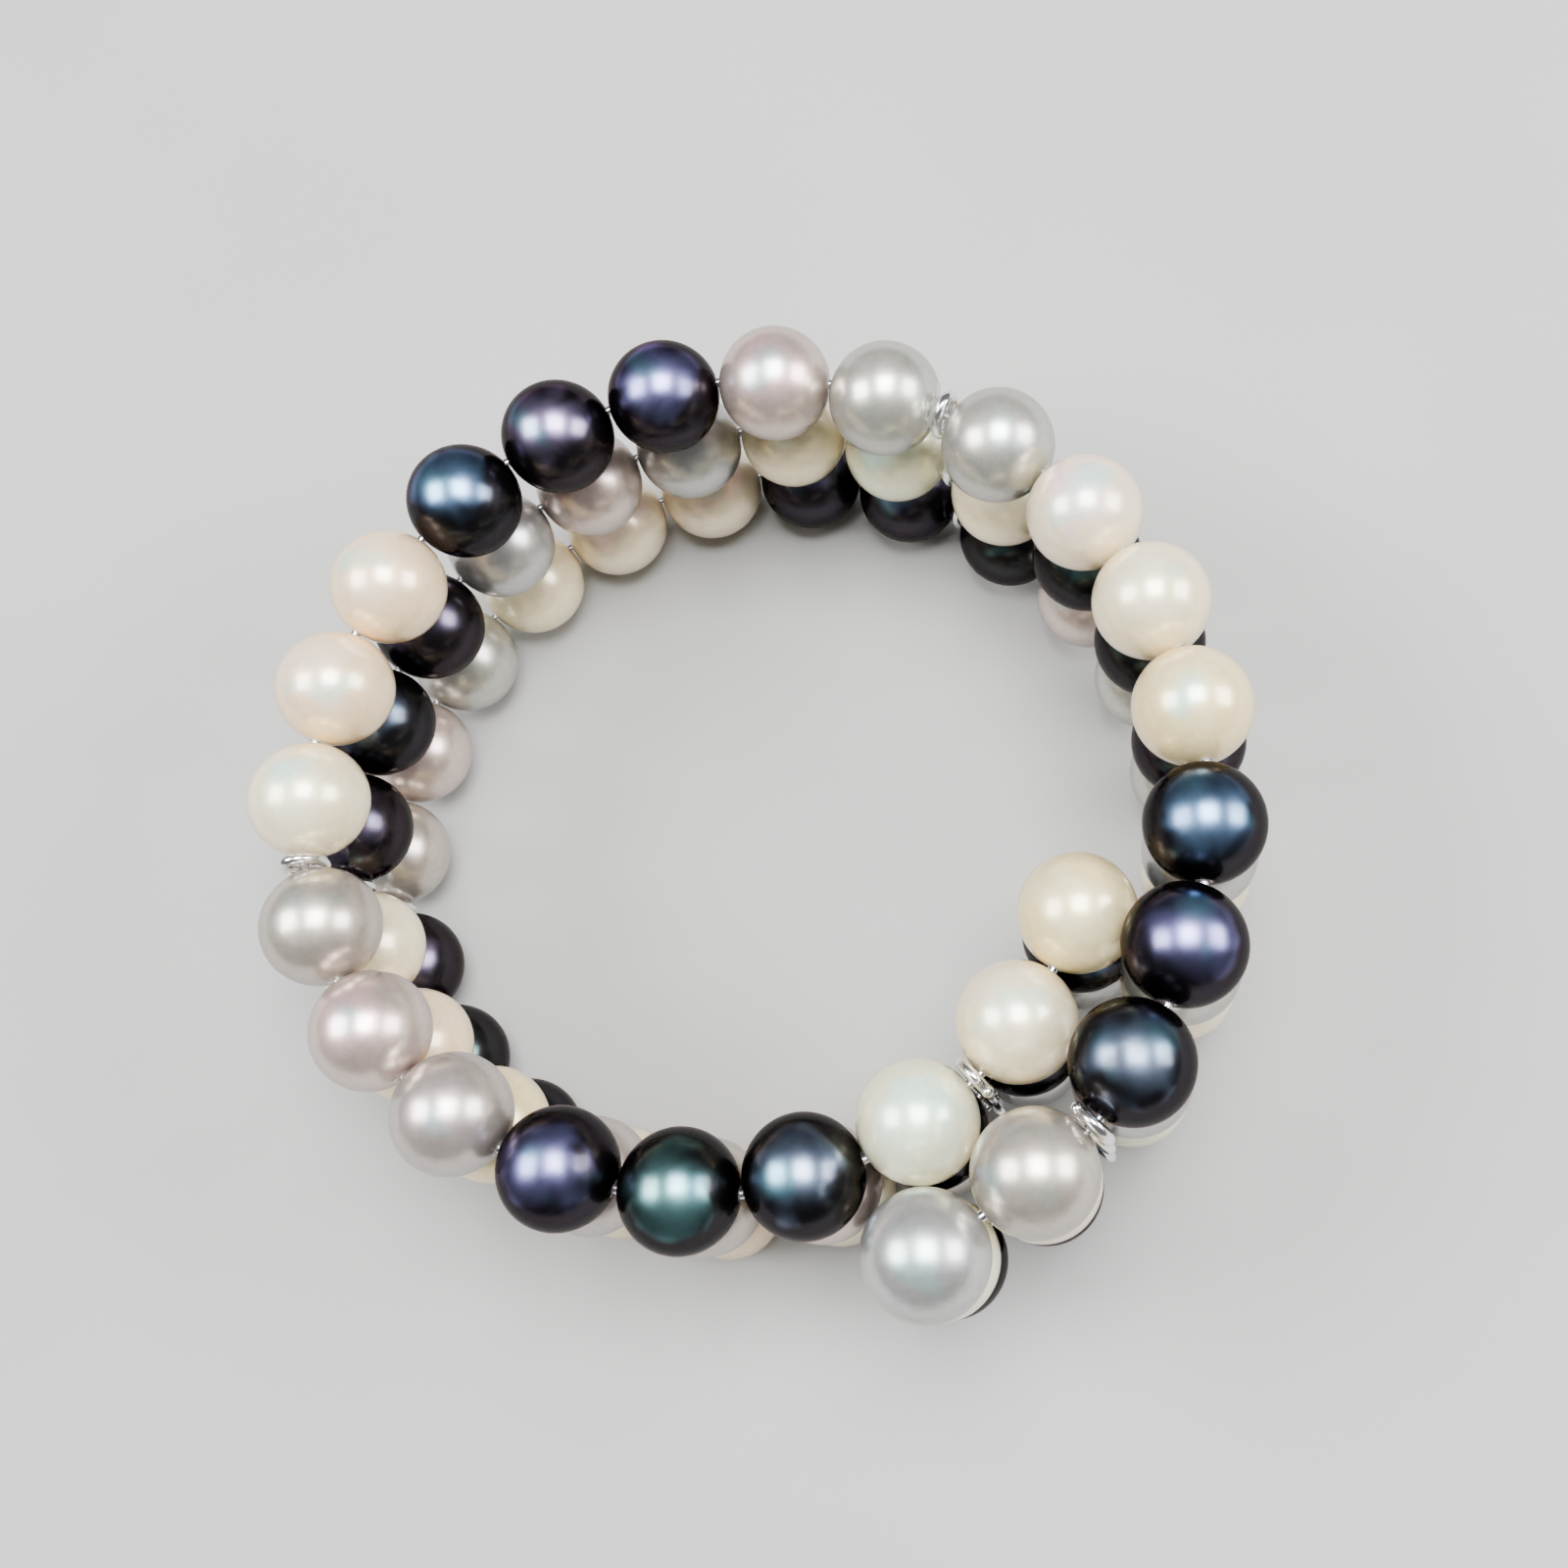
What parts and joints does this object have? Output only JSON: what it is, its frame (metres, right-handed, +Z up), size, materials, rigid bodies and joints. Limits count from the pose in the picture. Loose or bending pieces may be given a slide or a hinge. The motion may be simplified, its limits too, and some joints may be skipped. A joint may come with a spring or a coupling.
{
  "type": "pearl bracelet",
  "caption": "Open cuff bracelet of stacked rows of round pearls on spring wire, held level by flat spacer bars, lying on its side with its ends passing beside each other.",
  "frame": {"origin": "middle of the bracelet in plan, on the surface that its lowest pearls rest on", "axes": "+Z up through the wrist opening, +X to the right of the picture, -Y towards its lower edge"},
  "size_m": [0.069, 0.0688, 0.0311],
  "materials": {
    "pearl_white": "cream white nacre with a soft pink and green lustre",
    "pearl_grey": "silver grey nacre with a soft mauve lustre",
    "pearl_dark": "near black nacre with a blue, violet and green lustre",
    "silver": "polished white metal",
    "spring_wire": "bright drawn spring wire"
  },
  "bodies": {
    "root": {"strand_top": "pearl_white", "strand_middle": "pearl_grey", "strand_bottom": "pearl_dark", "spacer_bar_1": "silver", "spacer_bar_2": "silver", "spacer_bar_3": "silver", "spacer_bar_4": "silver"}
  },
  "joints": []
}
